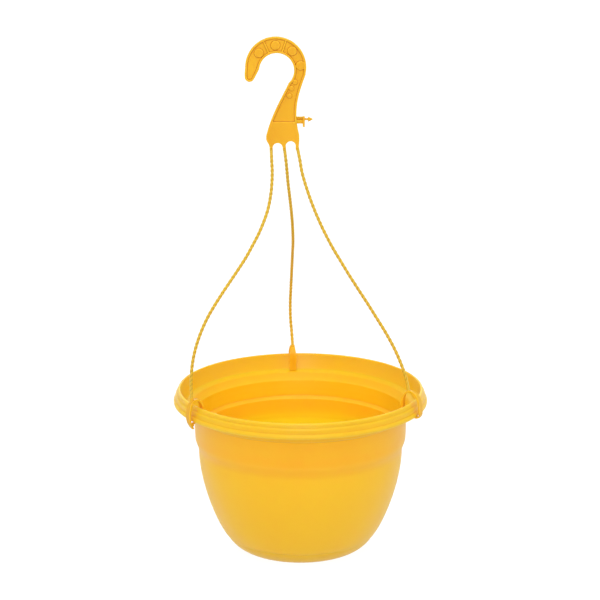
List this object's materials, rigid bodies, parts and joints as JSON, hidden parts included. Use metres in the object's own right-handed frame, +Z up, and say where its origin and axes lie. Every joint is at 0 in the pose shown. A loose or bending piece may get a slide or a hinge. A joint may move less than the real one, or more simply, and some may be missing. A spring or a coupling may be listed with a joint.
{
  "type": "hanging flower pot",
  "caption": "Tapered round plastic pot with a terraced rim, push-on drip saucer and a moulded hanger: hook plate, bendable strands and clips that arch over the rim.",
  "frame": {"origin": "centre of the drip saucer's flat underside, on the pot's axis", "axes": "+Z up along the pot's axis; +X to the right of someone who faces the flat of the hook plate; the plate's front faces -Y"},
  "size_m": [0.25, 0.2543, 0.507],
  "materials": {
    "pot_plastic": "semi-gloss injection-moulded polypropylene, slightly translucent",
    "hanger_plastic": "semi-gloss injection-moulded polypropylene"
  },
  "bodies": {
    "pot": {"pot": "pot_plastic", "rim_clip_left": "hanger_plastic", "rim_clip_back": "hanger_plastic", "rim_clip_right": "hanger_plastic"},
    "saucer": {"drip_saucer": "pot_plastic"},
    "strands": {"strand_left": "hanger_plastic", "strand_back": "hanger_plastic", "strand_right": "hanger_plastic"},
    "hook": {"hook": "hanger_plastic", "label_peg": "hanger_plastic"},
    "latch_left": {"clip_latch_left": "hanger_plastic"},
    "latch_back": {"clip_latch_back": "hanger_plastic"},
    "latch_right": {"clip_latch_right": "hanger_plastic"}
  },
  "joints": [
    {"name": "saucer_pull", "type": "slide", "parent": "pot", "child": "saucer", "axis": [0, 0, -1], "range_m": [0, 0.03]},
    {"name": "hanger_turn", "type": "hinge", "parent": "pot", "child": "strands", "pos_m": [-0.0155, 0, 0.4], "axis": [0, 0, 1], "range_deg": [-40, 40], "stiffness_Nm_per_rad": 0.01},
    {"name": "hook_tilt", "type": "hinge", "parent": "strands", "child": "hook", "pos_m": [-0.0155, 0, 0.4], "axis": [1, 0, 0], "range_deg": [-35, 35], "stiffness_Nm_per_rad": 0.04},
    {"name": "latch_left_flex", "type": "hinge", "parent": "pot", "child": "latch_left", "pos_m": [-0.10603, -0.07152, 0.1617], "axis": [-0.5592, 0.829, 0], "range_deg": [0, 18], "stiffness_Nm_per_rad": 0.05},
    {"name": "latch_back_flex", "type": "hinge", "parent": "pot", "child": "latch_back", "pos_m": [-0.00886, 0.12669, 0.1623], "axis": [0.9976, 0.0698, 0], "range_deg": [0, 18], "stiffness_Nm_per_rad": 0.05},
    {"name": "latch_right_flex", "type": "hinge", "parent": "pot", "child": "latch_right", "pos_m": [0.11415, -0.05567, 0.1641], "axis": [-0.4384, -0.8988, 0], "range_deg": [0, 18], "stiffness_Nm_per_rad": 0.05}
  ]
}
